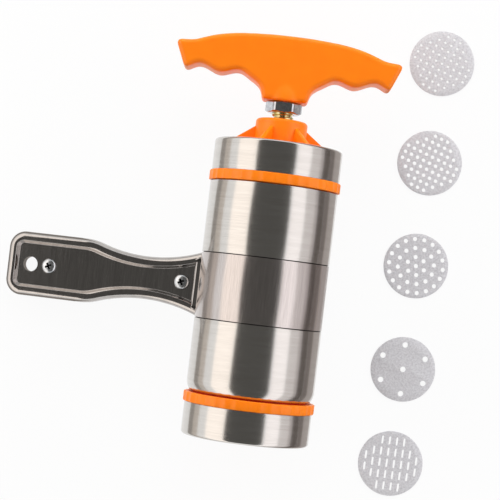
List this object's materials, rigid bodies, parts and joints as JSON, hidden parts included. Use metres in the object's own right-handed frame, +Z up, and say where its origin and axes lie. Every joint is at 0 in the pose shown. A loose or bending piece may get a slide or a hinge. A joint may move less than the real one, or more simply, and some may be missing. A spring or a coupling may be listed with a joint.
{
  "type": "hand cranked pasta extruder",
  "caption": "Steel barrel press with a T-shaped crank, screw plunger, side handle, screw-on caps and loose pasta dies lying beside it.",
  "frame": {"origin": "on the table, under the middle of the box round the press and its dies", "axes": "+Y along the barrel from the outlet to the crank, +Z up from the table, the side handle towards -X and the dies towards +X"},
  "size_m": [0.249, 0.266, 0.072],
  "materials": {
    "sleeve_steel": "brushed round the barrel",
    "band_steel": "brushed along the barrel",
    "orange_plastic": "satin moulded",
    "white_plastic": "satin moulded",
    "seal_rubber": "matte",
    "bright_zinc": "bright zinc plated",
    "yellow_zinc": "yellow zinc plated",
    "liner_steel": "polished",
    "die_metal": "matte"
  },
  "bodies": {
    "barrel": {"barrel_shell": "sleeve_steel", "barrel_liner": "liner_steel", "upper_collar": "orange_plastic", "lower_collar": "orange_plastic", "handle_front": "band_steel", "handle_rear": "band_steel", "handle_screws": "bright_zinc", "handle_nuts": "bright_zinc"},
    "top_seal": {"top_seal": "seal_rubber"},
    "top_cap": {"top_cap": "orange_plastic", "top_cap_sleeve": "sleeve_steel", "hub_nut": "bright_zinc"},
    "plunger": {"plunger": "white_plastic"},
    "crank": {"screw_rod": "yellow_zinc", "t_handle": "orange_plastic", "lock_nut": "bright_zinc", "plunger_washer": "bright_zinc", "plunger_screw": "bright_zinc"},
    "outlet_seal": {"outlet_seal": "seal_rubber"},
    "outlet_cap": {"outlet_cap": "orange_plastic", "outlet_sleeve": "sleeve_steel"},
    "die_fine_holes": {"die_fine_holes": "die_metal"},
    "die_medium_holes": {"die_medium_holes": "die_metal"},
    "die_ring_holes": {"die_ring_holes": "die_metal"},
    "die_seven_holes": {"die_seven_holes": "die_metal"},
    "die_slots": {"die_slots": "die_metal"}
  },
  "joints": [
    {"name": "top_cap_lift", "type": "slide", "parent": "barrel", "child": "top_seal", "axis": [0, 1, 0], "range_m": [0, 0.009]},
    {"name": "top_cap_unscrew", "type": "hinge", "parent": "top_seal", "child": "top_cap", "pos_m": [0.01973, 0.0314, 0.036], "axis": [0, 1, 0], "range_deg": [0, 810]},
    {"name": "plunger_travel", "type": "slide", "parent": "top_cap", "child": "plunger", "axis": [0, 1, 0], "range_m": [-0.003, 0.12]},
    {"name": "crank_turn", "type": "hinge", "parent": "plunger", "child": "crank", "pos_m": [0.01973, 0.0716, 0.036], "axis": [0, 1, 0], "range_deg": [-360, 14400]},
    {"name": "outlet_cap_lift", "type": "slide", "parent": "barrel", "child": "outlet_seal", "axis": [0, -1, 0], "range_m": [0, 0.013]},
    {"name": "outlet_cap_unscrew", "type": "hinge", "parent": "outlet_seal", "child": "outlet_cap", "pos_m": [0.01973, -0.0897, 0.036], "axis": [0, -1, 0], "range_deg": [0, 1170]},
    {"name": "die_fine_holes_lift", "type": "slide", "parent": "barrel", "child": "die_fine_holes", "axis": [0, 0, 1], "range_m": [0, 0.06]},
    {"name": "die_medium_holes_lift", "type": "slide", "parent": "barrel", "child": "die_medium_holes", "axis": [0, 0, 1], "range_m": [0, 0.06]},
    {"name": "die_ring_holes_lift", "type": "slide", "parent": "barrel", "child": "die_ring_holes", "axis": [0, 0, 1], "range_m": [0, 0.06]},
    {"name": "die_seven_holes_lift", "type": "slide", "parent": "barrel", "child": "die_seven_holes", "axis": [0, 0, 1], "range_m": [0, 0.06]},
    {"name": "die_slots_lift", "type": "slide", "parent": "barrel", "child": "die_slots", "axis": [0, 0, 1], "range_m": [0, 0.06]}
  ],
  "couplings": [
    {"joint": "top_cap_lift", "follows": "top_cap_unscrew", "m_per_rad": 0.00063662},
    {"joint": "plunger_travel", "follows": "crank_turn", "m_per_rad": 0.00047746},
    {"joint": "outlet_cap_lift", "follows": "outlet_cap_unscrew", "m_per_rad": 0.00063662}
  ]
}
